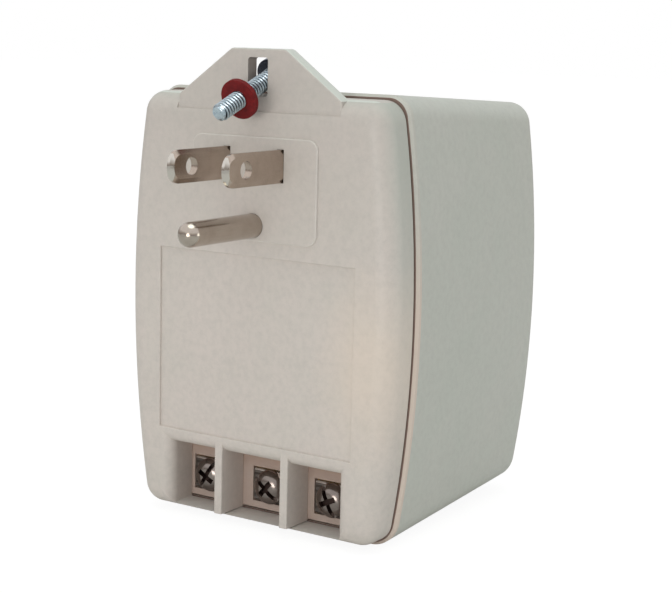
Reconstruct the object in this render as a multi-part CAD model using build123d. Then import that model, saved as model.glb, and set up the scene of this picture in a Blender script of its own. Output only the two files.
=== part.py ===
from build123d import *
import math
import os

# Plug-in AC transformer in a two-piece moulded housing.
# Seen from the wall side: X to the right, Y from the wall towards the rear, Z up.
# The origin lies midway between the two flat blades, on the raised plug panel.
# Pieces are drawn with Y measured from the cover's face, and moved when they are saved.
# All sizes are in millimetres.

# Barrel outline shared by both housing halves
half_width = 32.0            # of the front cover, at its widest height
widest_height = -28.0
bow_radius = 245.0           # of both sides

# Front cover
cover_top = 13.2
cover_bottom = -72.4
cover_depth = 7.5
cover_edge_radius = 4.0
cover_top_corner = 4.6
cover_bottom_corner = 4.4
cover_face = 2.6             # thickness of the face
cover_wall = 2.0             # thickness of the side walls
inner_corner_least = 0.5     # smallest corner radius inside the housing

# Mounting tab above the cover
tab_top = 22.1
tab_foot = 10.0              # height of the step at its foot
tab_step = 0.5               # how far its front lies behind the face
tab_thickness = 2.8
tab_top_half = 6.4
tab_foot_half = 19.3
tab_shoulder = 12.8          # height where its sides turn inwards
tab_corner = 1.6
tab_edge = 0.4               # rounding of its front edge
slot_width = 4.7
slot_height = 7.4
slot_bottom = 13.0
slot_corner = 0.6

# Raised panel round the plug
panel_half = 14.8
panel_top = 5.35
panel_bottom = -14.9
panel_raise = 0.55
panel_corner = 2.2
panel_edge = 0.3

# Sunken field for the rating text
field_margin = 4.7           # from the rounding of the cover's edge to the field
field_top = -18.1
field_bottom = -55.4
field_depth = 0.5
field_edge = 0.3

# Grounded two-blade plug
blade_pitch = 12.7
blade_thickness = 1.52
blade_height = 6.35
blade_length = 18.0          # from the panel
blade_hole = 3.5
blade_hole_out = 11.9        # from the panel to the hole
blade_nose = 2.9             # radius of the rounded tip corners
blade_bevel = 0.45
pin_diameter = 4.78
pin_drop = 11.89             # below the blades
pin_length = 21.4
pin_nose = 2.15              # radius of its rounded tip
pin_neck = 0.2               # how much slimmer it is inside the moulding
pin_relief = 0.4             # depth of the wider mouth of its hole
pin_tail = 1.3               # radius of its solder tail
plug_fit = 0.04              # gap all round between metal and moulding
shoulder_width = 1.0         # how far the buried shoulders stand out
shoulder_sink = 0.6          # from the back of the face forward to the shoulders
shoulder_cover = 0.8         # moulding behind the shoulders
tail_share = 0.6             # height of a blade's tail against the blade
tail_eye = 1.6
tail_length = 4.2            # of the metal behind the bosses
boss_depth = 3.0             # behind the face
boss_wall = 1.8

# Terminal pockets
middle_pocket = 14.25        # width of the middle pocket
outer_pocket = 11.425        # width of each outer pocket
pocket_ceiling = -58.5
pocket_floor = -71.6
pocket_depth = 7.5
pocket_wall = 1.2
pocket_lip = 2.5
rib_thickness = 1.85
rib_bottom = -71.4
rib_edge = 0.3
window_width = 9.2
window_height = 7.3
window_height_centre = -66.0
window_shift = 0.4125        # of an outer window, from the middle of its pocket
slit_height = 0.6

# Terminals
plate_gap = 0.3              # round a clamp plate in its window
plate_thickness = 1.2
plate_corner = 0.5
tab_plate_thickness = 0.8    # brass terminal behind the wall
terminal_width = 10.4
terminal_rise = 5.2          # above the screw
terminal_drop = 4.4          # below the screw
lug_width = 4.0
lug_reach = 5.4              # of the solder lug, bent back from the top
neck_diameter = 5.6          # drawn neck that carries the thread
neck_depth = 1.6
thread_fit = 0.03            # radial, in every thread
screw_diameter = 3.5
screw_fit = 0.15             # radial, through the clamp plate
screw_head = 7.0
screw_head_height = 2.2
screw_length = 4.4
slot_cut = 0.9
cross_cut = 1.1
cross_share = 0.55           # reach of the cross against the head
head_rim_share = 0.45        # height of the head's upright edge
crown_share = (0.78, 0.87)   # a point on the crown, against the head's radius and height
tip_share = 0.6              # radius of the tip's flat end
recess_depth = 1.0
terminal_screw_tip = 0.5
terminal_screw_turns = (60.0, -40.0, -65.0)

# Captive mounting screw and its fibre washer
mount_screw_diameter = 3.5
mount_screw_length = 18.4
mount_screw_tip = 1.0        # cone at the end
mount_head = 6.9
mount_head_height = 2.2
mount_droop = 22.0           # degrees below level
mount_head_back = 5.8        # from the slot's front edge to the head, along the screw
mount_touch = 0.02           # screw to the slot's edge
washer_outer = 7.9
washer_thickness = 0.9
washer_along = 11.2          # from the head, along the screw

# Rear case
seam = 0.4                   # gap between cover and case
rim_proud = 0.8              # rim beyond the cover at the sides
rim_rise = 1.0               # at the top
rim_drop = 1.3               # at the bottom
rim_bevel = 0.6
case_wall = 2.2
case_top_corner = 4.8
case_bottom_corner = 6.0
side_draft = 1.8             # degrees
top_draft = 2.9
bottom_draft = 2.5
rear_round = 2.8
tongue_reach = 1.6           # forward into the cover
tongue_thickness = 1.4
tongue_fit = 0.15
ledge_depth = 2.4            # ring that carries the tongue
ledge_inset = 0.3            # from the cover's outline to that ring

# Core, wound on a split bobbin
core_room = 5.0              # from the cover's widest half to the core
core_front = 13.6
core_stack = 38.0
core_centre = -29.0
core_hole = 3.6
core_gap = 0.3               # to the fins, posts and pads that hold it
bobbin_wall = 1.1
bobbin_flange = 1.2
bobbin_fit = 0.15
winding_fit = 0.1
winding_corner = 2.5
tape_thickness = 0.3
flange_rise = 0.6            # of the flanges above the tape
flange_clear = 0.25          # flange to the core's window

# Fins, posts and pads
fin_thickness = 2.0
fin_reach = 4.5              # inwards past the side of the core
fin_lip = 4.0                # above and below the core
fin_places = (0.33, 0.72)    # along the core's depth
post_diameter = 6.0
post_offset = 20.0
post_spread = 14.0
pad_size = 8.0
pad_thickness = 0.9

# Leads and thermal cutoff
lead_diameter = 1.8
lead_bend = 3.0
lead_touch = 0.05
lead_end = 2.7               # from the ground lead to the tip of its lug
lead_rise = 1.2              # straight run of a plug lead before it bends
lead_drop = 2.0              # from the ground lead's lower bend down to the core's underside
bend_spare = 0.05            # straight left between two bends
cutoff_diameter = 3.6
cutoff_length = 9.0
cutoff_edge = 0.4
cutoff_wire = 0.9
cutoff_wire_length = 4.0

# Shared by the drawing steps
past = 1.0                   # how far cutters overshoot and joined blocks overlap
near = 0.01                  # tolerance when edges are picked by their place

os.makedirs("parts", exist_ok=True)


def wall_plane(y):
    """Plane facing the wall at depth y: its own axes are X and Z."""
    return Plane(origin=(0, y, 0), x_dir=(1, 0, 0), z_dir=(0, -1, 0))


def plate(face, front, back):
    """Face drawn in X and Z, given thickness from depth front to depth back."""
    return extrude(wall_plane(back) * face, amount=back - front)


def rectangle(left, right, bottom, top):
    """Rectangle drawn from its four sides."""
    centre = ((left + right) / 2, (bottom + top) / 2)
    return Pos(*centre) * Rectangle(right - left, top - bottom)


def block(left, right, front, back, bottom, top):
    """Box given by its six sides."""
    return plate(rectangle(left, right, bottom, top), front, back)


def bow_half(height, inset):
    """Half width of the barrel at a height, the whole outline shrunk by inset."""
    radius = bow_radius - inset
    rise = height - widest_height
    return half_width - inset - (radius - math.sqrt(radius ** 2 - rise ** 2))


def bowed_face(inset, top, bottom):
    """Face with bowed sides, a flat top and bottom, and sharp corners."""
    top_half = bow_half(top, inset)
    bottom_half = bow_half(bottom, inset)
    widest = half_width - inset
    return make_face([
        Line((-top_half, top), (top_half, top)),
        ThreePointArc((top_half, top), (widest, widest_height), (bottom_half, bottom)),
        Line((bottom_half, bottom), (-bottom_half, bottom)),
        ThreePointArc((-bottom_half, bottom), (-widest, widest_height), (-top_half, top)),
    ])


def barrel(inset, top, bottom, top_corner, bottom_corner):
    """Barrel-shaped outline: flat top and bottom, bowed sides, rounded corners."""
    face = bowed_face(inset, top, bottom)
    face = fillet(face.vertices().group_by(Axis.Y)[-1], top_corner)
    return fillet(face.vertices().group_by(Axis.Y)[0], bottom_corner)


def tube(points, bends):
    """Insulated lead along straight runs joined by arcs."""
    path = FilletPolyline(*points, radius=bends)
    start = Plane(origin=path @ 0, z_dir=path % 0)
    return sweep(start * Circle(lead_diameter / 2), path=path)


# Places that several pieces share
field_half = half_width - cover_edge_radius - field_margin
rib_offset = (middle_pocket + rib_thickness) / 2
pocket_half = rib_offset + rib_thickness / 2 + outer_pocket
window_offset = pocket_half - outer_pocket / 2 + window_shift
panel_front = -panel_raise
face_back = cover_face
pocket_back = pocket_depth + pocket_wall
boss_back = face_back + boss_depth
tail_back = boss_back + tail_length
cover_front_edge = cover_depth + seam
core_width = 2 * (half_width - core_room)
core_leg = core_width / 6
shoulder_front = face_back - shoulder_sink
shoulder_back = boss_back - shoulder_cover
core_middle = 2 * core_leg
core_depth = 5 * core_leg
core_back = core_front + core_depth
case_end = core_back + core_gap + pad_thickness + case_wall
winding_build = core_leg - (flange_clear + tape_thickness + bobbin_fit + bobbin_wall + 2 * winding_fit)
window_front = core_front + core_leg
window_back = core_back - core_leg
stack_top = core_centre + core_stack / 2
stack_bottom = core_centre - core_stack / 2
terminal_front = pocket_back
plate_front = terminal_front - plate_thickness
winding_inner_x = core_middle + 2 * (bobbin_fit + bobbin_wall + winding_fit)
winding_inner_z = core_stack + 2 * (bobbin_fit + bobbin_wall + winding_fit)
winding_x = winding_inner_x + 2 * winding_build
winding_z = winding_inner_z + 2 * winding_build
winding_top = core_centre + winding_z / 2 + tape_thickness
winding_bottom = core_centre - winding_z / 2 - tape_thickness
screw_places = (-window_offset, 0.0, window_offset)
names = ("left", "middle", "right")


def rounded_front(solid, radius):
    """Solid with the edges of its front face rounded."""
    return fillet(solid.faces().sort_by(Axis.Y)[0].edges(), radius)


def make_tab():
    """Trapezoid tab with rounded upper corners and a rounded front edge."""
    points = [
        (-tab_foot_half, tab_foot),
        (-tab_foot_half, tab_shoulder),
        (-tab_top_half, tab_top),
        (tab_top_half, tab_top),
        (tab_foot_half, tab_shoulder),
        (tab_foot_half, tab_foot),
    ]
    face = make_face(Polyline(*points, close=True))
    face = fillet(face.vertices().group_by(Axis.Y)[-1], tab_corner)
    return rounded_front(plate(face, tab_step, tab_step + tab_thickness), tab_edge)


def pocket_tool():
    """Recess for the three terminals, its mouth flared by a rounded lip."""
    lip = pocket_lip
    side = pocket_half
    mouth = side + lip
    front = -past
    plan = make_face([
        Line((-mouth, front), (-mouth, 0)),
        RadiusArc((-mouth, 0), (-side, lip), -lip),
        Line((-side, lip), (-side, pocket_depth)),
        Line((-side, pocket_depth), (side, pocket_depth)),
        Line((side, pocket_depth), (side, lip)),
        RadiusArc((side, lip), (mouth, 0), -lip),
        Line((mouth, 0), (mouth, front)),
        Line((mouth, front), (-mouth, front)),
    ])
    ceiling = pocket_ceiling
    section = make_face([
        Line((front, pocket_floor), (front, ceiling + lip)),
        Line((front, ceiling + lip), (0, ceiling + lip)),
        RadiusArc((0, ceiling + lip), (lip, ceiling), -lip),
        Line((lip, ceiling), (pocket_depth, ceiling)),
        Line((pocket_depth, ceiling), (pocket_depth, pocket_floor)),
        Line((pocket_depth, pocket_floor), (front, pocket_floor)),
    ])
    floor_plane = Plane(origin=(0, 0, pocket_floor), x_dir=(1, 0, 0), z_dir=(0, 0, 1))
    upright = extrude(floor_plane * plan, amount=ceiling + lip - pocket_floor)
    side_plane = Plane(origin=(-mouth, 0, 0), x_dir=(0, 1, 0), z_dir=(1, 0, 0))
    level = extrude(side_plane * section, amount=2 * mouth)
    return upright & level


def make_front_cover():
    """Cover with tab, plug panel, text field, terminal pockets and inner posts."""
    outline = barrel(0, cover_top, cover_bottom, cover_top_corner, cover_bottom_corner)
    body = plate(outline, 0, cover_depth)
    body = fillet(body.faces().sort_by(Axis.Y)[0].edges(), cover_edge_radius)
    inner_corner = cover_top_corner - cover_wall
    inner_lower = cover_bottom_corner - cover_wall
    top = cover_top - cover_wall
    bottom = cover_bottom + cover_wall
    cavity = plate(barrel(cover_wall, top, bottom, inner_corner, inner_lower), face_back, cover_depth)
    cavity = fillet(cavity.faces().sort_by(Axis.Y)[0].edges(), cover_edge_radius - cover_wall)
    body -= cavity
    body += plug_bosses()
    housing_half = pocket_half + pocket_wall
    housing = block(-housing_half, housing_half, face_back - past, pocket_back,
                    pocket_floor, pocket_ceiling + pocket_wall)
    body += housing
    body -= block(-tab_foot_half, tab_foot_half, -past, tab_step, tab_foot, cover_top + past)
    body += make_tab()
    slot = RectangleRounded(slot_width, slot_height, slot_corner)
    slot = Pos(0, slot_bottom + slot_height / 2) * slot
    body -= plate(slot, -past, tab_step + tab_thickness + past)
    panel_middle = (panel_top + panel_bottom) / 2
    panel = RectangleRounded(2 * panel_half, panel_top - panel_bottom, panel_corner)
    panel = Pos(0, panel_middle) * panel
    body += rounded_front(plate(panel, panel_front, past), panel_edge)
    body -= block(-field_half, field_half, -past, field_depth, field_bottom, field_top)
    field_rim = body.edges().filter_by_position(Axis.Y, -near, near)
    field_rim = field_rim.filter_by_position(Axis.X, -field_half - near, field_half + near)
    field_rim = field_rim.filter_by_position(Axis.Z, field_bottom - near, field_top + near)
    body = fillet(field_rim, field_edge)
    body -= pocket_tool()
    for side in (-1, 1):
        left = side * rib_offset - rib_thickness / 2
        rib = block(left, left + rib_thickness, 0, pocket_depth + past / 2,
                    rib_bottom, pocket_ceiling + pocket_lip)
        front_edges = rib.faces().sort_by(Axis.Y)[0].edges().filter_by(Axis.Z)
        body += fillet(front_edges, rib_edge)
    body -= terminal_openings()
    body -= plug_holes()
    for x in (-post_offset, post_offset):
        for z in (core_centre - post_spread, core_centre + post_spread):
            post = Pos(x, z) * Circle(post_diameter / 2)
            body += plate(post, face_back - past, core_front - core_gap)
    return body


def plug_bosses():
    """Bosses behind the face that hold the blades and the pin."""
    half_x = blade_pitch / 2 + blade_thickness / 2 + shoulder_width + boss_wall
    half_z = blade_height / 2 + shoulder_width + boss_wall
    bosses = block(-half_x, half_x, face_back - past, boss_back, -half_z, half_z)
    radius = pin_diameter / 2 + shoulder_width + boss_wall
    bosses += plate(Pos(0, -pin_drop) * Circle(radius), face_back - past, boss_back)
    return bosses


def terminal_openings():
    """Windows for the clamp plates, and the slit along the floor of the pockets."""
    back = pocket_back + past
    side = pocket_half + pocket_wall + past
    openings = block(-side, side, pocket_depth, back, pocket_floor, pocket_floor + slit_height)
    for x in screw_places:
        window = Pos(x, window_height_centre) * Rectangle(window_width, window_height)
        openings += plate(window, pocket_depth - past, back)
    return openings


def blade_profile(grow, front, back):
    """Cross-section of one blade's shank, made longer to pierce what holds it."""
    return block(-blade_thickness / 2 - grow, blade_thickness / 2 + grow, front, back,
                 -blade_height / 2 - grow, blade_height / 2 + grow)


def plug_holes():
    """Openings that the blades, the pin and their shoulders fill."""
    front = panel_front - past
    holes = None
    for side in (-1, 1):
        place = Pos(side * blade_pitch / 2, 0, 0)
        through = blade_profile(plug_fit, front, boss_back + past)
        half = blade_height / 2 + shoulder_width + plug_fit
        wide = block(-blade_thickness / 2 - plug_fit, blade_thickness / 2 + plug_fit,
                     shoulder_front, shoulder_back, -half, half)
        hole = place * (through + wide)
        holes = hole if holes is None else holes + hole
    centre = Pos(0, -pin_drop)
    holes += plate(centre * Circle(pin_diameter / 2 + plug_fit), front, panel_front + pin_relief)
    holes += plate(centre * Circle(pin_diameter / 2 - pin_neck + plug_fit), front, boss_back + past)
    collar = Circle(pin_diameter / 2 + shoulder_width + plug_fit)
    holes += plate(centre * collar, shoulder_front, shoulder_back)
    return holes


def make_blade():
    """Flat blade with a rounded, bevelled tip, a hole, a shoulder and a solder tail."""
    tip = panel_front - blade_length
    half = blade_height / 2
    outline = rectangle(tip, boss_back + plug_fit, -half, half)
    outline = fillet(outline.vertices().group_by(Axis.X)[0], blade_nose)
    side = Plane(origin=(-blade_thickness / 2, 0, 0), x_dir=(0, 1, 0), z_dir=(1, 0, 0))
    blade = extrude(side * outline, amount=blade_thickness)
    nose = blade.edges().filter_by_position(Axis.Y, tip - near, tip + blade_nose + near)
    nose = nose.filter_by_position(Axis.X, blade_thickness / 2 - near, blade_thickness / 2 + near)
    other = blade.edges().filter_by_position(Axis.Y, tip - near, tip + blade_nose + near)
    other = other.filter_by_position(Axis.X, -blade_thickness / 2 - near, -blade_thickness / 2 + near)
    blade = chamfer(nose + other, blade_bevel, blade_bevel * 2)
    hole = Plane(origin=(-blade_thickness, panel_front - blade_hole_out, 0), z_dir=(1, 0, 0))
    blade -= extrude(hole * Circle(blade_hole / 2), amount=2 * blade_thickness)
    blade += block(-blade_thickness / 2, blade_thickness / 2,
                   shoulder_front + plug_fit, shoulder_back - plug_fit,
                   -half - shoulder_width, half + shoulder_width)
    tail_half = half * tail_share
    tail = block(-blade_thickness / 2, blade_thickness / 2, boss_back, tail_back, -tail_half, tail_half)
    eye = Plane(origin=(-blade_thickness, tail_back - tail_length / 2, 0), z_dir=(1, 0, 0))
    return blade + tail - extrude(eye * Circle(tail_eye / 2), amount=2 * blade_thickness)


def make_ground_pin():
    """Round earth pin turned from bar, with a rounded tip, a buried collar and a tail."""
    radius = pin_diameter / 2
    tip = panel_front - pin_length
    collar = radius + shoulder_width
    pin = plate(Circle(radius), tip, panel_front)
    pin = fillet(pin.faces().sort_by(Axis.Y)[0].edges(), pin_nose)
    pin += plate(Circle(radius - pin_neck), panel_front - past, boss_back)
    pin += plate(Circle(collar), shoulder_front + plug_fit, shoulder_back - plug_fit)
    pin += plate(Circle(pin_tail), boss_back - past, tail_back)
    return Pos(0, 0, -pin_drop) * pin


def case_solid(inset, back, top_corner, bottom_corner):
    """Drafted solid from the seam to a depth, shrunk by inset all round."""
    front = cover_front_edge
    depth = back - front
    spread = case_wall + rim_rise
    narrowing = depth * math.tan(math.radians(side_draft))
    top = cover_top + rim_rise - inset
    bottom = cover_bottom - rim_drop + inset
    front_face = bowed_face(inset - rim_proud, top + spread, bottom - spread)
    rear_face = bowed_face(inset - rim_proud + narrowing, top + spread, bottom - spread)
    sides = loft([wall_plane(front) * front_face, wall_plane(back) * rear_face], ruled=True)
    side_view = make_face(Polyline(
        (front, bottom),
        (front, top),
        (back, top - depth * math.tan(math.radians(top_draft))),
        (back, bottom + depth * math.tan(math.radians(bottom_draft))),
        close=True,
    ))
    side_plane = Plane(origin=(-2 * half_width, 0, 0), x_dir=(0, 1, 0), z_dir=(1, 0, 0))
    solid = sides & extrude(side_plane * side_view, amount=4 * half_width)
    corners = solid.edges().filter_by(lambda edge: edge.bounding_box().size.Y > 0.9 * depth)
    solid = fillet(corners.group_by(Axis.Z)[-1], top_corner)
    corners = solid.edges().filter_by(lambda edge: edge.bounding_box().size.Y > 0.9 * depth)
    return fillet(corners.group_by(Axis.Z)[0], bottom_corner)


def make_rear_case():
    """Drafted case with a bevelled rim, a tongue for the cover, core fins and pads."""
    outer = case_solid(0, case_end, case_top_corner, case_bottom_corner)
    outer = fillet(outer.faces().sort_by(Axis.Y)[-1].edges(), rear_round)
    outer = chamfer(outer.faces().sort_by(Axis.Y)[0].edges(), rim_bevel)
    inner_end = case_end - case_wall
    inner = case_solid(case_wall, inner_end, case_top_corner - case_wall, case_bottom_corner - case_wall)
    inner = fillet(inner.faces().sort_by(Axis.Y)[-1].edges(), rear_round - case_wall)
    return outer - inner + make_tongue() + (make_fins() & outer) + make_pads()


def make_tongue():
    """Ring that enters the cover, left out from the terminal housing downwards."""
    outer_inset = cover_wall + tongue_fit
    inner_inset = outer_inset + tongue_thickness
    front = cover_depth - tongue_reach
    back = cover_front_edge + ledge_depth
    outer = inset_outline(outer_inset)
    inner = inset_outline(inner_inset)
    tongue = plate(outer - inner, front, back)
    ledge = plate(inset_outline(ledge_inset) - inner, cover_front_edge, back)
    opening = block(-half_width, half_width, front - past, back + past,
                    cover_bottom, pocket_ceiling + pocket_wall + 2 * tongue_fit)
    return tongue + ledge - opening


def inset_outline(inset):
    """Outline of the cover, shrunk by inset all round."""
    return barrel(inset, cover_top - inset, cover_bottom + inset,
                  max(cover_top_corner - inset, inner_corner_least),
                  max(cover_bottom_corner - inset, inner_corner_least))


def make_fins():
    """Upright fins along both sides that hold the core sideways, up and down."""
    inner_x = core_width / 2 - fin_reach
    fins = None
    keep = block(-core_width / 2 - core_gap, core_width / 2 + core_gap, core_front, core_back + core_gap,
                 stack_bottom - core_gap, stack_top + core_gap)
    for part in fin_places:
        front = core_front + part * core_depth - fin_thickness / 2
        for side in (-1, 1):
            left = min(side * inner_x, side * half_width)
            right = max(side * inner_x, side * half_width)
            fin = block(left, right, front, front + fin_thickness,
                        stack_bottom - fin_lip, stack_top + fin_lip)
            fins = fin if fins is None else fins + fin
    return fins - keep


def make_pads():
    """Four pads on the rear wall that stop the core."""
    pads = None
    for x in (-post_offset, post_offset):
        for z in (core_centre - post_spread, core_centre + post_spread):
            square = Pos(x, z) * Rectangle(pad_size, pad_size)
            pad = plate(square, core_back + core_gap, case_end - case_wall / 2)
            pads = pad if pads is None else pads + pad
    return pads


def make_e_stack():
    """E laminations as one block, open to the front."""
    half = core_width / 2
    block_all = block(-half, half, window_front, core_back, stack_bottom, stack_top)
    for side in (-1, 1):
        left = min(side * core_leg, side * (half - core_leg))
        window = block(left, left + core_leg, window_front - past, window_back,
                       stack_bottom - past, stack_top + past)
        block_all -= window
    return block_all - core_holes()


def make_i_stack():
    """I laminations that close the core at the front."""
    half = core_width / 2
    return block(-half, half, core_front, window_front, stack_bottom, stack_top) - core_holes()


def core_holes():
    """Four holes through the stack at the corners of the core."""
    holes = None
    plane = Plane(origin=(0, 0, stack_bottom - past))
    for x in (-1, 1):
        for y in (core_front + core_leg / 2, core_back - core_leg / 2):
            place = Pos(x * (core_width - core_leg) / 2, y)
            hole = extrude(plane * place * Circle(core_hole / 2), amount=core_stack + 2)
            holes = hole if holes is None else holes + hole
    return holes


def make_bobbin():
    """Split bobbin round the middle leg, with three flanges."""
    front = window_front + flange_clear
    back = window_back - flange_clear
    inner_x = core_middle + 2 * bobbin_fit
    inner_z = core_stack + 2 * bobbin_fit
    centre = Pos(0, core_centre)
    tube_face = Rectangle(inner_x + 2 * bobbin_wall, inner_z + 2 * bobbin_wall)
    tube_face -= Rectangle(inner_x, inner_z)
    bobbin = plate(centre * tube_face, front, back)
    flange_x = core_width - 2 * core_leg - 2 * flange_clear
    flange_z = winding_z + 2 * (tape_thickness + flange_rise)
    flange_face = RectangleRounded(flange_x, flange_z, winding_corner) - Rectangle(inner_x, inner_z)
    for place in (front, (front + back - bobbin_flange) / 2, back - bobbin_flange):
        bobbin += plate(centre * flange_face, place, place + bobbin_flange)
    return bobbin


def winding_span(which):
    """Depths between which a winding lies, clear of the bobbin's flanges."""
    middle = (window_front + window_back) / 2
    end = flange_clear + bobbin_flange + winding_fit
    if which == "primary":
        return window_front + end, middle - bobbin_flange / 2 - winding_fit
    return middle + bobbin_flange / 2 + winding_fit, window_back - end


def make_winding(which):
    """Coil as one body, wound round the bobbin."""
    front, back = winding_span(which)
    face = RectangleRounded(winding_x, winding_z, winding_corner)
    face -= Rectangle(winding_inner_x, winding_inner_z)
    return plate(Pos(0, core_centre) * face, front, back)


def make_tape(which):
    """Tape wrapped round a coil."""
    front, back = winding_span(which)
    width = winding_x + 2 * tape_thickness
    height = winding_z + 2 * tape_thickness
    outer = RectangleRounded(width, height, winding_corner + tape_thickness)
    face = outer - RectangleRounded(winding_x, winding_z, winding_corner)
    return plate(Pos(0, core_centre) * face, front, back)


def winding_middle(which):
    """Depth of the middle of a winding."""
    front, back = winding_span(which)
    return (front + back) / 2


def make_cutoff():
    """Thermal cutoff with its two wires, lying on the primary tape."""
    height = winding_top + lead_touch + cutoff_diameter / 2
    centre = (0, winding_middle("primary") - lead_bend, height)
    plane = Plane(origin=centre, z_dir=(1, 0, 0))
    can = extrude(plane * Circle(cutoff_diameter / 2), amount=cutoff_length / 2, both=True)
    can = chamfer(can.edges(), cutoff_edge)
    reach = cutoff_length / 2 + cutoff_wire_length
    wire = extrude(plane * Circle(cutoff_wire / 2), amount=reach, both=True)
    return can + wire


def make_terminal():
    """Brass terminal behind a window: plate, threaded neck and solder lug."""
    half = terminal_width / 2
    z = window_height_centre
    back = terminal_front + tab_plate_thickness
    body = block(-half, half, terminal_front, back, z - terminal_drop, z + terminal_rise)
    body += block(-lug_width / 2, lug_width / 2, terminal_front, back + lug_reach,
                  z + terminal_rise - tab_plate_thickness, z + terminal_rise)
    body += plate(Pos(0, z) * Circle(neck_diameter / 2), terminal_front, back + neck_depth)
    hole = Pos(0, z) * Circle(screw_diameter / 2 + thread_fit)
    return body - plate(hole, terminal_front - past, back + neck_depth + past)


def make_clamp_plate():
    """Square clamp plate in its window, under the screw head."""
    width = window_width - 2 * plate_gap
    height = window_height - 2 * plate_gap
    face = RectangleRounded(width, height, plate_corner) - Circle(screw_diameter / 2 + screw_fit)
    return plate(Pos(0, window_height_centre) * face, plate_front, terminal_front)


def make_screw(diameter, length, head, head_height, tip):
    """Pan-head screw with slot and cross, pointing to +Y, its head ending at Y = 0."""
    radius = diameter / 2
    edge = head / 2
    flat = head_height * head_rim_share
    crown = head_height
    outline = make_face([
        Line((0, -crown), (0, length)),
        Line((0, length), (radius * tip_share, length)),
        Line((radius * tip_share, length), (radius, length - tip)),
        Line((radius, length - tip), (radius, 0)),
        Line((radius, 0), (edge, 0)),
        Line((edge, 0), (edge, -flat)),
        ThreePointArc((edge, -flat), (edge * crown_share[0], -crown * crown_share[1]), (0, -crown)),
    ])
    screw = revolve(outline, Axis.Y)
    front = -crown - past
    depth = -crown + recess_depth
    slot = block(-edge - past, edge + past, front, depth, -slot_cut / 2, slot_cut / 2)
    arm = edge * cross_share
    cross = block(-cross_cut / 2, cross_cut / 2, front, depth, -arm, arm)
    return screw - slot - cross


def make_terminal_screw(turn):
    """Terminal screw, its recess turned about the screw axis."""
    screw = make_screw(screw_diameter, screw_length, screw_head, screw_head_height, terminal_screw_tip)
    return Pos(0, plate_front, window_height_centre) * Rot(0, -turn, 0) * screw


def mounting_place():
    """Place of the drooping screw: it rests on the front edge of the tab's slot."""
    angle = math.radians(mount_droop)
    lift = mount_screw_diameter / 2 + mount_touch
    y = tab_step - lift * math.sin(angle) + mount_head_back * math.cos(angle)
    z = slot_bottom + lift * math.cos(angle) + mount_head_back * math.sin(angle)
    return Pos(0, y, z) * Rot(mount_droop, 0, 0) * Rot(0, 0, 180)


def make_mounting_screw():
    """Captive screw that holds the transformer to the outlet plate."""
    screw = make_screw(mount_screw_diameter, mount_screw_length,
                       mount_head, mount_head_height, mount_screw_tip)
    return mounting_place() * screw


def make_washer():
    """Fibre washer that keeps the mounting screw in its slot."""
    face = Circle(washer_outer / 2) - Circle(mount_screw_diameter / 2 + thread_fit)
    washer = plate(face, washer_along - washer_thickness / 2, washer_along + washer_thickness / 2)
    return mounting_place() * washer


def make_plug_lead(side):
    """Lead from a blade's tail, over the core, down to the primary winding."""
    x = side * blade_pitch / 2
    y = tail_back - tail_length / 2
    start = blade_height / 2 * tail_share + lead_touch
    level = start + lead_bend + lead_rise
    drop = winding_middle("primary") + lead_bend
    end = winding_top + lead_touch
    return tube([(x, y, start), (x, y, level), (x, drop, level), (x, drop, end)], lead_bend)


def make_ground_lead():
    """Lead from the earth pin, down the front of the core, to the middle terminal."""
    y = tail_back - tail_length / 2
    start = -pin_drop - pin_tail - lead_touch
    lug = terminal_front + tab_plate_thickness + lug_reach - lead_end
    bend_height = stack_bottom + lead_drop
    end = window_height_centre + terminal_rise + lead_touch
    radius = (lug - y) / 2 - bend_spare
    return tube([(0, y, start), (0, y, bend_height), (0, lug, bend_height), (0, lug, end)], radius)


def make_secondary_lead(x):
    """Lead from the secondary winding to an outer terminal's lug."""
    z = window_height_centre + terminal_rise - tab_plate_thickness / 2
    start = terminal_front + tab_plate_thickness + lug_reach + lead_touch
    y = winding_middle("secondary")
    end = winding_bottom - lead_touch
    bend = min(lead_bend, end - z - bend_spare)
    return tube([(x, start, z), (x, y, z), (x, y, end)], bend)


def save(shape, name):
    """Write one piece to its own file, moved so that the origin lies on the plug panel."""
    export_step(Pos(0, panel_raise, 0) * shape, f"parts/{name}.step")


save(make_front_cover(), "front_cover")
save(make_rear_case(), "rear_case")
save(Pos(-blade_pitch / 2, 0, 0) * make_blade(), "line_blade")
save(Pos(blade_pitch / 2, 0, 0) * make_blade(), "neutral_blade")
save(make_ground_pin(), "ground_pin")
save(make_e_stack(), "core_e_stack")
save(make_i_stack(), "core_i_stack")
save(make_bobbin(), "bobbin")
for which in ("primary", "secondary"):
    save(make_winding(which), f"{which}_winding")
    save(make_tape(which), f"{which}_tape")
save(make_cutoff(), "thermal_cutoff")
for name, x, turn in zip(names, screw_places, terminal_screw_turns):
    save(Pos(x, 0, 0) * make_terminal(), f"terminal_tab_{name}")
    save(Pos(x, 0, 0) * make_clamp_plate(), f"terminal_plate_{name}")
    save(Pos(x, 0, 0) * make_terminal_screw(turn), f"terminal_screw_{name}")
save(make_mounting_screw(), "mounting_screw")
save(make_washer(), "fiber_washer")
save(make_plug_lead(-1), "line_lead")
save(make_plug_lead(1), "neutral_lead")
save(make_ground_lead(), "ground_lead")
save(make_secondary_lead(-window_offset), "secondary_lead_left")
save(make_secondary_lead(window_offset), "secondary_lead_right")
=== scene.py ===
# %% [markdown]
# A plug-in transformer: two grey plastic mouldings, a grounded plug, a loose screw in a tab and
# three clamp terminals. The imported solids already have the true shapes, so most of this lesson
# is about finishes. They are procedural, because a noise in object space needs no unwrapping
# and keeps its real scale. Places and sizes on the object are in millimetres, and those of the
# floor, the lamps and the camera in metres, as Blender takes them.

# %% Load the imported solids
import math

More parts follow.
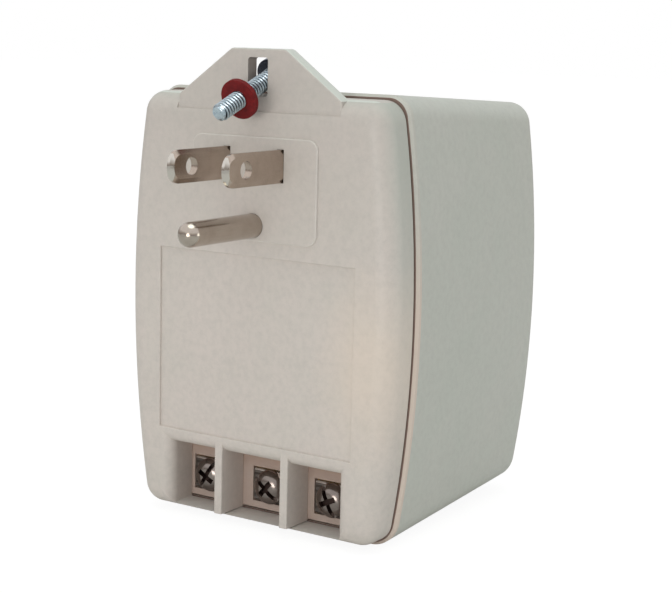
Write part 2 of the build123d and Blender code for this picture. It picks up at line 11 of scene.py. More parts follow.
import bmesh
import bpy
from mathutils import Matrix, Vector


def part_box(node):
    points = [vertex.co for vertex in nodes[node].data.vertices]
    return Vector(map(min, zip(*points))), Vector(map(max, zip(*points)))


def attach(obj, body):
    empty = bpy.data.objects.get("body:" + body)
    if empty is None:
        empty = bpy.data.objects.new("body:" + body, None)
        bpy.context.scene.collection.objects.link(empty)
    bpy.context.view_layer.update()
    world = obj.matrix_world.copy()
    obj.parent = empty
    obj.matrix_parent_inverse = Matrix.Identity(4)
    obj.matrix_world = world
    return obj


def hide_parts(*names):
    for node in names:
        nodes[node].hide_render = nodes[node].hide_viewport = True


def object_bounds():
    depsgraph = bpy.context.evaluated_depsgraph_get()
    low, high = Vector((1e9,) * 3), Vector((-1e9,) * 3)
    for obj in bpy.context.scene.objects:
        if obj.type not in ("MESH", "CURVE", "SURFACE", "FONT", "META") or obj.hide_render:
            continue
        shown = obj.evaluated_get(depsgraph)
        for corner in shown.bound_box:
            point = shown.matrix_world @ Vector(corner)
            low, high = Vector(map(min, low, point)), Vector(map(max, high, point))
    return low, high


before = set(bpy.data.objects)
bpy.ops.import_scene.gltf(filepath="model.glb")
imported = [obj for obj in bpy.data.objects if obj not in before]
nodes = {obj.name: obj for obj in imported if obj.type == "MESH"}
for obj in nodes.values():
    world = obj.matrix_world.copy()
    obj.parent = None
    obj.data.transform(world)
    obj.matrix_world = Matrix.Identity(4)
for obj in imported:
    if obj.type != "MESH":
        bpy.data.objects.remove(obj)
solid_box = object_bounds()
MM = 0.001
BLACK = (0.0, 0.0, 0.0)
WHITE = (1.0, 1.0, 1.0)
print("solids:", len(nodes), "box:", [list(corner) for corner in solid_box])

# %% [markdown]
# Shader maths reads best as plain expressions. A small class wraps a socket, and each of its
# operators adds one Math node. The operators differ only in the node's setting, so one function
# makes them all, and the reflected forms let a number stand on the left, as in 1 - mask.


# %% A socket that can be added and multiplied
def math_operator(operation, reflected=False):
    """An operator that adds a Math node, with its two values swapped where it is reflected."""
    def operator(self, other):
        first, second = (other, self) if reflected else (self, other)
        return self.graph.maths(operation, first, second)

    return operator


class Wire:
    def __init__(self, graph, socket):
        self.graph = graph
        self.socket = socket

    __add__ = math_operator("ADD")
    __radd__ = math_operator("ADD", reflected=True)
    __sub__ = math_operator("SUBTRACT")
    __rsub__ = math_operator("SUBTRACT", reflected=True)
    __mul__ = math_operator("MULTIPLY")
    __rmul__ = math_operator("MULTIPLY", reflected=True)
    __truediv__ = math_operator("DIVIDE")
    __rtruediv__ = math_operator("DIVIDE", reflected=True)
    __pow__ = math_operator("POWER")
    __rpow__ = math_operator("POWER", reflected=True)
    __gt__ = math_operator("GREATER_THAN")
    __lt__ = math_operator("LESS_THAN")
    at_least = math_operator("MAXIMUM")
    at_most = math_operator("MINIMUM")

    def absolute(self):
        return self.graph.maths("ABSOLUTE", self, 0.0)

    def sine(self):
        return self.graph.maths("SINE", self, 0.0)

    def fraction(self):
        return self.graph.maths("FRACT", self, 0.0)

    def clamped(self):
        """The value kept between nought and one."""
        return self.at_least(0.0).at_most(1.0)

    def rising(self, start, end):
        """Nought at the start, one at the end, and even between them."""
        return ((self - start) / (end - start)).clamped()

    def between(self, low, high):
        """One inside the limits, nought outside them."""
        return (self > low) * (self < high)


def distance_from_axis(first, second):
    """How far a place is from an axis, from its two coordinates across that axis."""
    return (first ** 2.0 + second ** 2.0) ** 0.5


# %% [markdown]
# A graph is a tree of nodes with one method that adds any of them: it takes the node's type, its
# settings and what goes into its sockets. The materials and the room's light both use it.


# %% A tree of nodes
class Graph:
    def __init__(self, tree):
        self.tree = tree

    def add(self, kind, settings, sockets, output=0):
        """Any node: its settings first, then the values or links of its sockets."""
        node = self.tree.nodes.new(kind)
        for key, value in settings.items():
            if key == "stops":
                self.set_stops(node.color_ramp, value)
            else:
                setattr(node, key, value)
        for key, value in sockets.items():
            self.feed(node.inputs[key], value)
        return Wire(self, node.outputs[output])

    def set_stops(self, ramp, stops):
        while len(ramp.elements) < len(stops):
            ramp.elements.new(0.5)
        for element, (position, colour) in zip(ramp.elements, stops):
            element.position = position
            element.color = (*colour, 1.0)

    def feed(self, socket, value):
        if isinstance(value, Wire):
            self.tree.links.new(value.socket, socket)
        elif isinstance(value, (tuple, list)) and socket.type == "RGBA":
            socket.default_value = (*value, 1.0)
        else:
            socket.default_value = value

    def maths(self, operation, first, second):
        return self.add("ShaderNodeMath", {"operation": operation}, {0: first, 1: second})

    def ramp(self, factor, *stops):
        return self.add("ShaderNodeValToRGB", {"stops": stops}, {"Fac": factor}, "Color")

    def mix_shaders(self, factor, first, second):
        return self.add("ShaderNodeMixShader", {}, {0: factor, 1: first, 2: second})


# %% [markdown]
# A finish is the graph of one material. Its noises are named by the size of their grain, and
# shade() lays a second colour and roughness over the first: painted shade or painted light.


# %% The graph of one material
class Finish(Graph):
    def __init__(self, name):
        self.material = bpy.data.materials.new(name)
        self.material.use_nodes = True
        super().__init__(self.material.node_tree)
        self.shader = self.tree.nodes["Principled BSDF"]
        self.place = self.add("ShaderNodeTexCoord", {}, {}, "Object")

    def set(self, **sockets):
        for key, value in sockets.items():
            self.feed(self.shader.inputs[key.replace("_", " ")], value)

    def along(self, axis):
        """One coordinate of the place, in millimetres."""
        return self.add("ShaderNodeSeparateXYZ", {}, {"Vector": self.place}, axis) * (1.0 / MM)

    def noise(self, size, detail=3.0, rough=0.5, stretch=(1, 1, 1)):
        """Noise whose largest grain has about that size in millimetres."""
        moved = self.add("ShaderNodeMapping", {}, {"Vector": self.place, "Scale": stretch})
        scale = 1.0 / (size * MM)
        sockets = {"Vector": moved, "Scale": scale, "Detail": detail, "Roughness": rough}
        return self.add("ShaderNodeTexNoise", {}, sockets, "Fac")

    def blend(self, factor, first, second):
        """The first colour where the factor is nought, the second where it is one."""
        return self.add("ShaderNodeMix", {"data_type": "RGBA"}, {0: factor, 6: first, 7: second}, 2)

    def fed_by(self, key):
        """What feeds a socket of the shader now."""
        return Wire(self, self.shader.inputs[key].links[0].from_socket)

    def shade(self, mask, colour, rough, amount=1.0):
        """Lay that much of a second colour and roughness over the first, where the mask is one."""
        share = mask * amount
        old_rough = self.fed_by("Roughness")
        self.set(Base_Color=self.blend(share, self.fed_by("Base Color"), colour))
        self.set(Roughness=old_rough + (rough - old_rough) * share)

    def bump(self, height, depth, strength):
        """Relief of that depth in millimetres."""
        sockets = {"Height": height, "Strength": strength, "Distance": depth * MM}
        self.set(Normal=self.add("ShaderNodeBump", {}, sockets, "Normal"))


def wear(finish, *names):
    """Give solids this finish."""
    for name in names:
        nodes[name].data.materials.clear()
        nodes[name].data.materials.append(finish.material)
    print(finish.material.name, "on", ", ".join(names))


def shares(colour, parts):
    """A colour with each of its three parts scaled."""
    return tuple(value * part for value, part in zip(colour, parts))


# %% [markdown]
# Both mouldings are one plastic, a warm light grey with a spark-eroded texture. It shows as a
# fine grain, a soft cloudiness in the gloss, and broad flow marks. Noises of about 0.5, 9 and 26
# millimetres make them, and the last two also shift the colour between a greener and a pinker
# grey, as old plastic does. A small fourth one mottles it. A picture of real plastic would need
# unwrapping and would repeat, which noises don't.


# %% The moulded plastic
COVER_GREY = (0.665, 0.61, 0.57)
CASE_GREY = (0.565, 0.572, 0.53)
GREENER = (0.92, 0.96, 0.93)
PINKER = (1.08, 1.03, 1.04)
MOTTLE_GREY = (0.36, 0.35, 0.33)
FLOW_STRETCH = (1.0, 1.0, 0.45)


def moulded(name, colour, cloud):
    """The plastic in one grey, with that share of cloudiness and the rest of flow marks."""
    finish = Finish(name)
    grain = finish.noise(0.45, detail=2.0, rough=0.55)
    patch = finish.noise(9.0, rough=0.6)
    flow = finish.noise(26.0, detail=2.0, stretch=FLOW_STRETCH)
    mottle = (finish.noise(1.3, rough=0.7) - 0.5) * 0.6
    shift = patch * cloud + flow * (1.0 - cloud)
    base = finish.blend(shift, shares(colour, GREENER), shares(colour, PINKER))
    base = finish.blend(mottle + 0.06, base, MOTTLE_GREY)
    finish.set(Base_Color=base, Roughness=0.36 + patch * 0.16, IOR=1.5, Specular_IOR_Level=0.42)
    finish.bump(grain + patch * 0.4, depth=0.035, strength=0.55)
    return finish


cover_finish = moulded("cover_plastic", COVER_GREY, cloud=0.55)
case_finish = moulded("case_plastic", CASE_GREY, cloud=0.6)
print("nodes of the plastic:", len(cover_finish.tree.nodes))

# %% [markdown]
# The case has painted shade in the seam, so it is dark brown in front of its own edge. The rim
# behind that has painted light, a little paler and warmer, above all in its lower part. A depth in
# Y tells the seam, the rim and the rest apart, which is simpler than picking faces.

# %% Seam and rim of the rear case
SEAM_DEPTH = 8.47
RIM_DEPTH = 9.8
RIM_PAINTED_LIGHT = (0.76, 0.59, 0.50)
SEAM_PAINTED_SHADE = (0.26, 0.18, 0.15)
depth = case_finish.along("Y")
lower_part = case_finish.along("Z").rising(-6.0, -26.0)
rim = (depth < RIM_DEPTH) * (lower_part * 0.55 + 0.1)
# painted light: the rim a little paler and warmer, more so low down
case_finish.shade(rim, RIM_PAINTED_LIGHT, rough=0.4)
# painted shade: dark brown in the seam
case_finish.shade(depth < SEAM_DEPTH, SEAM_PAINTED_SHADE, rough=0.8)
wear(case_finish, "rear_case")

# %% [markdown]
# The cover has painted shade: its upper half is a little greyer, above all on the rounded sides,
# which are also greener. The masks are plain ramps along Y and Z, because the two greys fade
# in slowly. The tab stays out of the second one, since its edge has a pale painted highlight
# instead.

# %% Painted shade on the cover
UPPER_PAINTED_SHADE = (0.43, 0.40, 0.375)
ROUNDED_PAINTED_SHADE = (0.46, 0.50, 0.45)
TAB_SHOULDER = 12.8
across = cover_finish.along("X")
behind_face = cover_finish.along("Y")
height = cover_finish.along("Z")
on_tab = height > TAB_SHOULDER
# painted shade: the upper half a little greyer
cover_finish.shade(height.rising(-30.0, 20.0), UPPER_PAINTED_SHADE, rough=0.5, amount=0.3)
rounded = behind_face.rising(1.2, 4.2) * height.rising(-40.0, 0.0) * (1.0 - on_tab)
# painted shade: the rounded sides darker and greener
cover_finish.shade(rounded, ROUNDED_PAINTED_SHADE, rough=0.5, amount=0.6)
print("nodes with handling:", len(cover_finish.tree.nodes))

# %% [markdown]
# The tab's edge has a pale, greenish painted highlight, and its slot has painted shade in dark
# brown. Both lie between the tab's front and rear faces, which stay as they are, and the slot is
# the part of them near the middle.

# %% Edge and slot of the tab
TAB_FACE = 1.05
TAB_REAR = 3.85
SLOT_HALF = 2.45
SLOT_TOP = 20.5
TAB_EDGE_PAINTED_HIGHLIGHT = (0.74, 0.82, 0.76)
SLOT_PAINTED_SHADE = (0.34, 0.26, 0.22)
tab_edge = on_tab * behind_face.between(TAB_FACE + 0.12, TAB_REAR - 0.1)
in_slot = across.between(-SLOT_HALF, SLOT_HALF) * (height < SLOT_TOP)
# painted highlight: the tab's edge pale and greenish
cover_finish.shade(tab_edge * (1.0 - in_slot), TAB_EDGE_PAINTED_HIGHLIGHT, rough=0.4, amount=0.5)
# painted shade: the slot's walls dark brown
cover_finish.shade(tab_edge * in_slot, SLOT_PAINTED_SHADE, rough=0.6, amount=0.5)
print("nodes with the tab's edge:", len(cover_finish.tree.nodes))

# %% [markdown]
# One patch beside the field has a painted warm glow, faintly yellow. It is an ellipse with a soft
# border that a noise makes ragged. The raised edges, just behind the face, have a pale painted
# highlight.

# %% Painted glow and edge highlights
PATCH_CENTRE = (27.0, -37.0)
PATCH_REACH = (11.0, 17.0)
PAINTED_GLOW_COLOUR = (0.88, 0.72, 0.58)
EDGE_PAINTED_HIGHLIGHT = (0.80, 0.76, 0.72)
patch_across = (across - PATCH_CENTRE[0]) / PATCH_REACH[0]
patch_height = (height - PATCH_CENTRE[1]) / PATCH_REACH[1]
from_patch = distance_from_axis(patch_across, patch_height)
painted_glow = (1.05 - from_patch + cover_finish.noise(7.0) * 0.4).clamped()
# painted light: a warm glow beside the field
cover_finish.shade(painted_glow, PAINTED_GLOW_COLOUR, rough=0.42, amount=0.35)
# painted highlight: the raised edges pale
cover_finish.shade(behind_face.between(0.04, 0.5), EDGE_PAINTED_HIGHLIGHT, rough=0.4, amount=0.5)
print("nodes with the patch and edges:", len(cover_finish.tree.nodes))

# %% [markdown]
# The terminal pockets have painted shade in a dark warm brown. It thickens with the depth and lies
# heaviest on their backs, near the top, while their floors have a paler painted light.

# %% Painted shade and light in the terminal pockets
POCKET_HALF = 20.8
POCKET_FLOOR = -71.6
POCKET_TOP = -56.0
POCKET_BACK = 7.9
POCKET_PAINTED_SHADE = (0.37, 0.23, 0.17)
POCKET_FLOOR_PAINTED_LIGHT = (0.88, 0.86, 0.82)
between_sides = across.between(-POCKET_HALF, POCKET_HALF)
on_floor = height.between(POCKET_FLOOR - 0.05, POCKET_FLOOR + 0.05)
# painted light: the pocket floors paler
cover_finish.shade(on_floor * between_sides, POCKET_FLOOR_PAINTED_LIGHT, rough=0.4, amount=0.5)
in_pockets = between_sides * height.between(POCKET_FLOOR + 0.4, POCKET_TOP)
on_walls = behind_face.rising(1.0, 8.0) * 0.16
patchy = cover_finish.noise(4.0, detail=2.0) * 0.2 + 0.28
near_top = height.rising(-64.0, -59.0) * 0.3
on_backs = (behind_face > POCKET_BACK) * (patchy + near_top)
# painted shade: the pockets' walls and backs dark brown
cover_finish.shade(in_pockets * (on_walls + on_backs), POCKET_PAINTED_SHADE, rough=0.6)
wear(cover_finish, "front_cover")

# %% [markdown]
# The blades and the pin are plated with nickel. Plating on drawn brass keeps the draw marks as
# fine streaks along the metal, and the blades' tips have a paler painted highlight. The
# streaks are a noise stretched along Y, which feeds roughness and a very shallow relief.


# %% Nickel plating
DRAWN = (1.0, 0.04, 1.0)


def plated(name, colours, rough, streak=DRAWN):
    """Metal with streaks along the axis whose stretch is small, and patches of tarnish."""
    clean, tarnish = colours
    finish = Finish(name)
    lines = finish.noise(0.28, detail=4.0, rough=0.6, stretch=streak)
    patch = finish.noise(3.5, rough=0.6)
    base = finish.blend(patch ** 2.0 * 0.8 + lines * 0.25, clean, tarnish)
    finish.set(Base_Color=base, Metallic=1.0, Roughness=rough + lines * 0.14 + patch * 0.06)
    finish.bump(lines + finish.noise(0.8, detail=2.0) * 0.5, depth=0.012, strength=0.5)
    return finish


# %% Blades and pin
BLADE_NICKEL = ((0.58, 0.49, 0.42), (0.26, 0.20, 0.16))
PIN_NICKEL = ((0.56, 0.50, 0.44), (0.32, 0.26, 0.22))
TIP_PAINTED_HIGHLIGHT = (0.64, 0.60, 0.55)
TIP_HIGHLIGHT_LENGTH = 1.1
blade_finish = plated("blade_nickel", BLADE_NICKEL, rough=0.14)
blade_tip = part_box("line_blade")[0].y / MM
# painted highlight: the blades' tips paler
blade_finish.shade(blade_finish.along("Y") < blade_tip + TIP_HIGHLIGHT_LENGTH, TIP_PAINTED_HIGHLIGHT, rough=0.12)
pin_finish = plated("pin_nickel", PIN_NICKEL, rough=0.1)
wear(blade_finish, "line_blade", "neutral_blade")
wear(pin_finish, "ground_pin")

# %% [markdown]
# The terminal hardware is the same plating, but older and darker, with stamped faces. Each screw's
# recess has painted shade, nearly black: it is whatever lies under the dome and near a screw's
# axis.
# The three screws share one finish, so a fraction of X, in steps of their spacing, folds their
# places onto one. A finish for each screw would say the same thing three times.

# %% Terminal screws
SIDES = ("left", "middle", "right")
OLD_STEEL = ((0.32, 0.28, 0.26), (0.10, 0.07, 0.06))
RECESS_PAINTED_SHADE = (0.06, 0.04, 0.035)
RECESS_DEPTH = 6.28
RECESS_REACH = 2.3
EVENLY = (1.0, 1.0, 1.0)
plate_boxes = [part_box(f"terminal_plate_{side}") for side in SIDES]
plate_middles = [(low + high) / (2 * MM) for low, high in plate_boxes]
spacing = plate_middles[1].x - plate_middles[0].x
screw_height = plate_middles[1].z
screw_finish = plated("terminal_screw_steel", OLD_STEEL, rough=0.1, streak=EVENLY)
aside = ((screw_finish.along("X") / spacing + 0.5).fraction() - 0.5) * spacing
from_screw = distance_from_axis(aside, screw_finish.along("Z") - screw_height)
in_recess = (screw_finish.along("Y") > RECESS_DEPTH) * (from_screw < RECESS_REACH)
# painted shade: each screw's recess nearly black
screw_finish.shade(in_recess, RECESS_PAINTED_SHADE, rough=0.45)
wear(screw_finish, *[f"terminal_screw_{side}" for side in SIDES])
print("screws", round(spacing, 3), "apart, at", round(screw_height, 3))

# %% [markdown]
# The clamp plates have shallow ridges that grip a wire, so a sine of the height gives their
# relief, and their upper edge has a bright painted highlight. Behind them the terminals are bare
# brass.

# %% Clamp plates and brass
DARK_STEEL = ((0.24, 0.22, 0.21), (0.10, 0.08, 0.07))
DULL_BRASS = ((0.62, 0.44, 0.19), (0.38, 0.24, 0.09))
PLATE_EDGE_PAINTED_HIGHLIGHT = (0.80, 0.75, 0.71)
RIDGE_PITCH = 1.1
EDGE_HIGHLIGHT_BAND = 0.45
ROLLED_ACROSS = (0.1, 1.0, 1.0)
ROLLED_UPWARDS = (1.0, 1.0, 0.1)
plate_finish = plated("clamp_plate_steel", DARK_STEEL, rough=0.3, streak=ROLLED_ACROSS)
plate_height = plate_finish.along("Z")
ridges = (plate_height * (2.0 * math.pi / RIDGE_PITCH)).sine()
plate_finish.bump(ridges, depth=0.12, strength=0.8)
plate_top = plate_boxes[1][1].z / MM
# painted highlight: the plates' upper edge bright
plate_finish.shade(plate_height > plate_top - EDGE_HIGHLIGHT_BAND, PLATE_EDGE_PAINTED_HIGHLIGHT, rough=0.3)
brass_finish = plated("terminal_brass", DULL_BRASS, rough=0.3, streak=ROLLED_UPWARDS)
wear(plate_finish, *[f"terminal_plate_{side}" for side in SIDES])
wear(brass_finish, *[f"terminal_tab_{side}" for side in SIDES])

# %% [markdown]
# The washer is vulcanised fibre: layers of dyed paper pressed into a hard sheet. It is dull and
# a little mottled all over. A ramp between two reds gives the mottle, and a fine noise breaks up
# what gloss there is.

# %% Fibre washer
DARK_RED = (0.12, 0.007, 0.009)
PALE_RED = (0.22, 0.012, 0.013)
fibre = Finish("washer_fibre")
mottle = fibre.noise(0.9, detail=4.0, rough=0.65)
fine = fibre.noise(0.16, detail=2.0)
red = fibre.ramp(mottle, (0.3, DARK_RED), (0.7, PALE_RED))
fibre.set(Base_Color=red, Roughness=0.6 + fine * 0.25, Specular_IOR_Level=0.25)
fibre.bump(mottle + fine, depth=0.05, strength=0.6)
wear(fibre, "fiber_washer")

# %% [markdown]
# The mounting screw has a rolled 32-per-inch thread, which the solid leaves out because a thread
# is heavy to check. Here the head is kept from the solid's mesh, and the shank is drawn again as
# a grid: its radius is a clipped triangle wave that climbs one pitch per turn.

# %% The screw's place in the frame
THREAD_PITCH = 0.794
MAJOR_RADIUS = 1.75
MINOR_RADIUS = 1.30
SHANK_LENGTH = 18.4
HEAD_TO_WASHER = 11.2
DROOP = math.radians(22.0)
screw_aim = Vector((0.0, -math.cos(DROOP), -math.sin(DROOP)))
washer_low, washer_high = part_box("fiber_washer")
washer_centre = (washer_low + washer_high) / 2
head_seat = washer_centre - screw_aim * (HEAD_TO_WASHER * MM)
print("head seat at", [round(value / MM, 2) for value in head_seat])


# %% Radius of the thread
CREST_SLOPE = 1.35
ROOT_FLAT = 0.12
TIP_FADE = 0.8
TIP_SHARE = 0.74


def thread_radius(distance, turn):
    """Radius in millimetres, at a distance from the head and a part of a turn."""
    phase = (distance / THREAD_PITCH - turn) % 1.0
    triangle = 1.0 - abs(2.0 * phase - 1.0)
    crest = min(1.0, max(0.0, CREST_SLOPE * triangle - ROOT_FLAT))
    fade = min(1.0, max(0.0, (SHANK_LENGTH - distance) / TIP_FADE))
    radius = MINOR_RADIUS + (MAJOR_RADIUS - MINOR_RADIUS) * crest
    return radius * (TIP_SHARE + (1.0 - TIP_SHARE) * fade)


print("thread from", thread_radius(0.0, 0.0), "to", thread_radius(THREAD_PITCH / 2, 0.0))


# %% A threaded shank
def draw_shank(mesh, start, aim, around=36, per_pitch=10):
    """Grid of the threaded shank, closed at its tip, added to a mesh."""
    side = aim.orthogonal().normalized()
    up = aim.cross(side)
    steps = int(SHANK_LENGTH / THREAD_PITCH * per_pitch)
    rows = []
    for step in range(steps + 1):
        distance = SHANK_LENGTH * step / steps
        row = []
        for index in range(around):
            turn = index / around
            angle = 2.0 * math.pi * turn
            radius = thread_radius(distance, turn) * MM
            out = side * math.cos(angle) + up * math.sin(angle)
            row.append(mesh.verts.new(start + aim * (distance * MM) + out * radius))
        rows.append(row)
    for lower, upper in zip(rows, rows[1:]):
        for index in range(around):
            after = (index + 1) % around
            mesh.faces.new((lower[index], lower[after], upper[after], upper[index]))
    mesh.faces.new(rows[-1])
    return len(rows) * around


# %% Head from the solid, shank from the grid
HEAD_MARGIN = 0.3


def threaded_screw():
    """The solid's head with a threaded shank, as one piece."""
    mesh = bmesh.new()
    mesh.from_mesh(nodes["mounting_screw"].data)
    limit = HEAD_MARGIN * MM
    plain_shank = [vert for vert in mesh.verts if (vert.co - head_seat).dot(screw_aim) > limit]
    bmesh.ops.delete(mesh, geom=plain_shank, context="VERTS")
    print("thread points:", draw_shank(mesh, head_seat, screw_aim))
    data = bpy.data.meshes.new("threaded_screw")
    mesh.to_mesh(data)
    mesh.free()
    piece = bpy.data.objects.new("threaded_screw", data)
    bpy.context.scene.collection.objects.link(piece)
    return piece


screw_piece = threaded_screw()
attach(screw_piece, "root")
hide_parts("mounting_screw")

# %% [markdown]
# The zinc is bright on the crests, and the roots have painted shade, nearly black. The distance
# from the screw's axis tells them apart: X squared plus the square of the height across the axis.
# Past the last thread the flat tip is bright again, and what lies farther out than the thread
# is the head, which has a dark bluish painted reflection.

# %% Where a point lies on the screw
TIP_BRIGHT = 0.7
zinc = Finish("screw_zinc")
offset_y = zinc.along("Y") - head_seat.y / MM
offset_z = zinc.along("Z") - head_seat.z / MM
across_screw = offset_z * math.cos(DROOP) - offset_y * math.sin(DROOP)
from_axis = distance_from_axis(zinc.along("X"), across_screw)
travel = (offset_y * math.cos(DROOP) + offset_z * math.sin(DROOP)) * -1.0
crest_share = (from_axis - MINOR_RADIUS) / (MAJOR_RADIUS - MINOR_RADIUS)
crest_share = crest_share.at_least(travel > SHANK_LENGTH - TIP_BRIGHT)
print("thread from radius", MINOR_RADIUS, "to", MAJOR_RADIUS)

# %% Zinc plating
ROOT_PAINTED_SHADE = (0.012, 0.016, 0.026)
HEAD_PAINTED_REFLECTION = (0.12, 0.14, 0.19)
DULL_ZINC = (0.42, 0.52, 0.60)
BRIGHT_ZINC = (0.62, 0.72, 0.78)
bloom = zinc.noise(0.7, rough=0.6)
bright = zinc.ramp(bloom, (0.3, DULL_ZINC), (0.7, BRIGHT_ZINC))
crest = zinc.ramp(crest_share, (0.3, BLACK), (0.8, WHITE))
# painted shade: the thread's roots nearly black
tint = zinc.blend(crest, ROOT_PAINTED_SHADE, bright)
# painted reflection: the head dark and bluish
tint = zinc.blend(from_axis > MAJOR_RADIUS + 0.1, tint, HEAD_PAINTED_REFLECTION)
zinc.set(Base_Color=tint, Metallic=1.0, Roughness=0.2 + bloom * 0.18)
zinc.bump(zinc.noise(0.3, detail=2.0), depth=0.01, strength=0.4)
screw_piece.data.materials.clear()
screw_piece.data.materials.append(zinc.material)
print("zinc on", screw_piece.name)

# %% [markdown]
# Inside, the core is a pile of half-millimetre laminations. Stripes in Z of that pitch, with a
# little disorder, give their edges. Varnish leaves a dark, glossy, uneven skin over them.

# %% Laminated core
LAMINATION = 0.5
THICK_VARNISH = (0.06, 0.05, 0.045)
THIN_VARNISH = (0.20, 0.19, 0.18)
core = Finish("lamination_steel")
sheet = (core.along("Z") / LAMINATION + core.noise(6.0, detail=2.0) * 0.4).fraction()
seam = (sheet - 0.5).absolute() * 2.0
varnish = core.noise(4.0, detail=4.0, rough=0.6)
steel = core.ramp(varnish, (0.3, THICK_VARNISH), (0.75, THIN_VARNISH))
core.set(Base_Color=steel, Metallic=0.75, Roughness=0.35 + varnish * 0.3)
core.bump(varnish * 0.3 - seam ** 6.0, depth=0.12, strength=0.8)
wear(core, "core_e_stack", "core_i_stack")

# %% [markdown]
# Each coil is enamelled copper. Its outer turns run across the bobbin's length, so they lie side
# by side along Y: a sine of that coordinate gives the round backs of the wires.


# %% Windings
DARK_COPPER = (0.36, 0.10, 0.03)
PALE_COPPER = (0.62, 0.24, 0.08)


def copper(name, wire):
    """Enamelled copper wire, wound in turns of that thickness in millimetres."""
    finish = Finish(name)
    turns = (finish.along("Y") * (2.0 * math.pi / wire)).sine()
    cloudy = finish.noise(2.5)
    base = finish.blend(cloudy, DARK_COPPER, PALE_COPPER)
    finish.set(Base_Color=base, Metallic=0.85, Roughness=0.25 + cloudy * 0.2)
    finish.bump(turns, depth=wire * 0.25, strength=0.8)
    return finish


wear(copper("primary_wire", 0.25), "primary_winding")
wear(copper("secondary_wire", 0.9), "secondary_winding")

# %% [markdown]
# The tape round each coil is a thin yellow film with wrinkles that run round it. The bobbin, the
# cutoff and the leads are plain plastic or lacquer, so they share one smeared finish.

# %% Tape
DARK_YELLOW = (0.55, 0.36, 0.04)
PALE_YELLOW = (0.72, 0.52, 0.09)
tape = Finish("winding_tape")
wrinkle = tape.noise(2.0, stretch=(0.3, 1.0, 0.3))
yellow = tape.blend(wrinkle, DARK_YELLOW, PALE_YELLOW)
tape.set(Base_Color=yellow, Roughness=0.2 + wrinkle * 0.2)
tape.bump(wrinkle, depth=0.08, strength=0.7)
wear(tape, "primary_tape", "secondary_tape")


# %% Bobbin, cutoff and leads
SMEARED = (0.8, 0.8, 0.8)


def insulated(name, colour):
    """Plain plastic or lacquer, a little darker where it is smeared."""
    finish = Finish(name)
    smear = finish.noise(1.5)
    base = finish.blend(smear, shares(colour, SMEARED), colour)
    finish.set(Base_Color=base, Roughness=0.32 + smear * 0.2)
    finish.bump(finish.noise(0.4, detail=2.0) + smear, depth=0.02, strength=0.5)
    return finish


wear(insulated("bobbin_nylon", (0.74, 0.71, 0.62)), "bobbin")
wear(insulated("cutoff_lacquer", (0.60, 0.52, 0.36)), "thermal_cutoff")
wear(insulated("lead_black", (0.03, 0.03, 0.03)), "line_lead")
wear(insulated("lead_white", (0.75, 0.75, 0.72)), "neutral_lead")
wear(insulated("lead_green", (0.03, 0.22, 0.06)), "ground_lead")
wear(insulated("lead_yellow", (0.70, 0.50, 0.05)), "secondary_lead_left", "secondary_lead_right")

# %% [markdown]
# The floor is white to the camera. Its white is only part emission, so it keeps a faint shadow
# under the case, and a mix shader on Is Camera Ray keeps that emission off the object.

# %% Floor
FLOOR_WIDTH = 6.0
FLOOR_BEHIND = 0.5
FLOOR_GLOW = 1.14
GLOW_SHARE = 0.8
PALE_FLOOR = (0.82, 0.82, 0.81)
floor_height = solid_box[0][2]
floor_place = (0.0, FLOOR_BEHIND, floor_height)
bpy.ops.mesh.primitive_plane_add(size=FLOOR_WIDTH, location=floor_place)
floor = bpy.context.object
floor.name = "floor"
ground = Finish("floor_white")
ground.set(Base_Color=PALE_FLOOR, Roughness=0.9)
to_camera = ground.add("ShaderNodeLightPath", {}, {}, "Is Camera Ray")
glow = ground.add("ShaderNodeEmission", {}, {"Color": WHITE, "Strength": FLOOR_GLOW})
matt = Wire(ground, ground.shader.outputs["BSDF"])
surface = ground.mix_shaders(to_camera * GLOW_SHARE, matt, glow)
ground.feed(ground.tree.nodes["Material Output"].inputs["Surface"], surface)
floor.data.materials.append(ground.material)
print("floor at", round(floor_height / MM, 2))

# %% [markdown]
# The world does three jobs. To the camera and through glass it is white. To everything else it
# is dim, so that the lamps shape the object. Metal would look flat in an all-white room, so
# glossy rays see white above and darker, warmer walls from the horizon down.

# %% World
AMBIENT = 0.55
WALL_COLOUR = (0.28, 0.24, 0.21)
WALL_TOP = 0.35
world = bpy.data.worlds.new("studio")
bpy.context.scene.world = world
world.use_nodes = True
room = Graph(world.node_tree)


def background(colour, strength=1.0):
    return room.add("ShaderNodeBackground", {}, {"Color": colour, "Strength": strength})


def ray(kind):
    return room.add("ShaderNodeLightPath", {}, {}, kind)


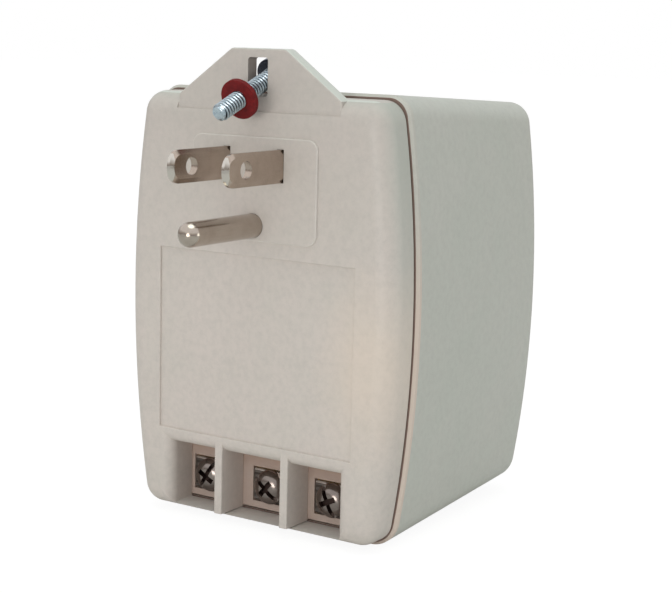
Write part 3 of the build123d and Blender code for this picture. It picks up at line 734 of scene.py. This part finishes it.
white = background(WHITE)
direction = room.add("ShaderNodeTexCoord", {}, {}, "Generated")
upwards = room.add("ShaderNodeSeparateXYZ", {}, {"Vector": direction}, "Z")
wall = room.ramp(upwards, (0.0, BLACK), (WALL_TOP, WHITE))
mirrored = room.mix_shaders(wall, background(WALL_COLOUR), white)
seen = (ray("Is Camera Ray") + ray("Is Transmission Ray")).clamped()
plain = room.mix_shaders(seen, background(WHITE, AMBIENT), white)
whole = room.mix_shaders(ray("Is Glossy Ray"), plain, mirrored)
room.feed(room.tree.nodes["World Output"].inputs["Surface"], whole)
print("world nodes:", len(room.tree.nodes))

# %% [markdown]
# Three soft lamps light the object: one overhead, one in front, and one at the right that lifts
# the long side. They are faintly green or warm, and large, so that their shadows are soft.


# %% Lamps
LOOK_AT = Vector((0.0, 0.02, -0.03))


def lamp(name, place, size, power, colour):
    """A round soft lamp that points at the object."""
    data = bpy.data.lights.new(name, "AREA")
    data.shape = "DISK"
    data.size = size
    data.energy = power
    data.color = colour
    holder = bpy.data.objects.new(name, data)
    bpy.context.scene.collection.objects.link(holder)
    holder.location = place
    aim = LOOK_AT - Vector(place)
    holder.rotation_euler = aim.to_track_quat("-Z", "Y").to_euler()
    print("lamp", name, power, "W")


lamp("overhead", (0.05, -0.05, 0.75), size=0.6, power=1.7, colour=(0.86, 1.0, 0.92))
lamp("front_fill", (0.06, -0.6, -0.05), size=0.3, power=1.38, colour=(1.0, 0.98, 0.945))
lamp("right_fill", (0.75, 0.3, -0.05), size=0.4, power=0.85, colour=(0.95, 1.0, 0.95))

# %% [markdown]
# The camera stands where the photograph was taken. Its place, and its turns about X, Y and Z in
# degrees, were worked out from the plug, whose sizes are standard, so the render and the
# photograph line up.

# %% Camera
FOCAL_PIXELS = 1605.0
PICTURE_WIDTH = 672.0
CAMERA_PLACE = (0.18234, -0.24995, 0.02566)
CAMERA_ANGLES = (80.614, -1.3725, 33.2709)
eye = bpy.data.cameras.new("camera")
eye.sensor_width = 36.0
eye.lens = FOCAL_PIXELS * eye.sensor_width / PICTURE_WIDTH
eye.clip_start = 0.01
camera = bpy.data.objects.new("camera", eye)
bpy.context.scene.collection.objects.link(camera)
camera.location = CAMERA_PLACE
camera.rotation_euler = [math.radians(angle) for angle in CAMERA_ANGLES]
bpy.context.scene.camera = camera
bpy.context.scene.view_settings.view_transform = "Standard"
print("lens:", round(eye.lens, 2))
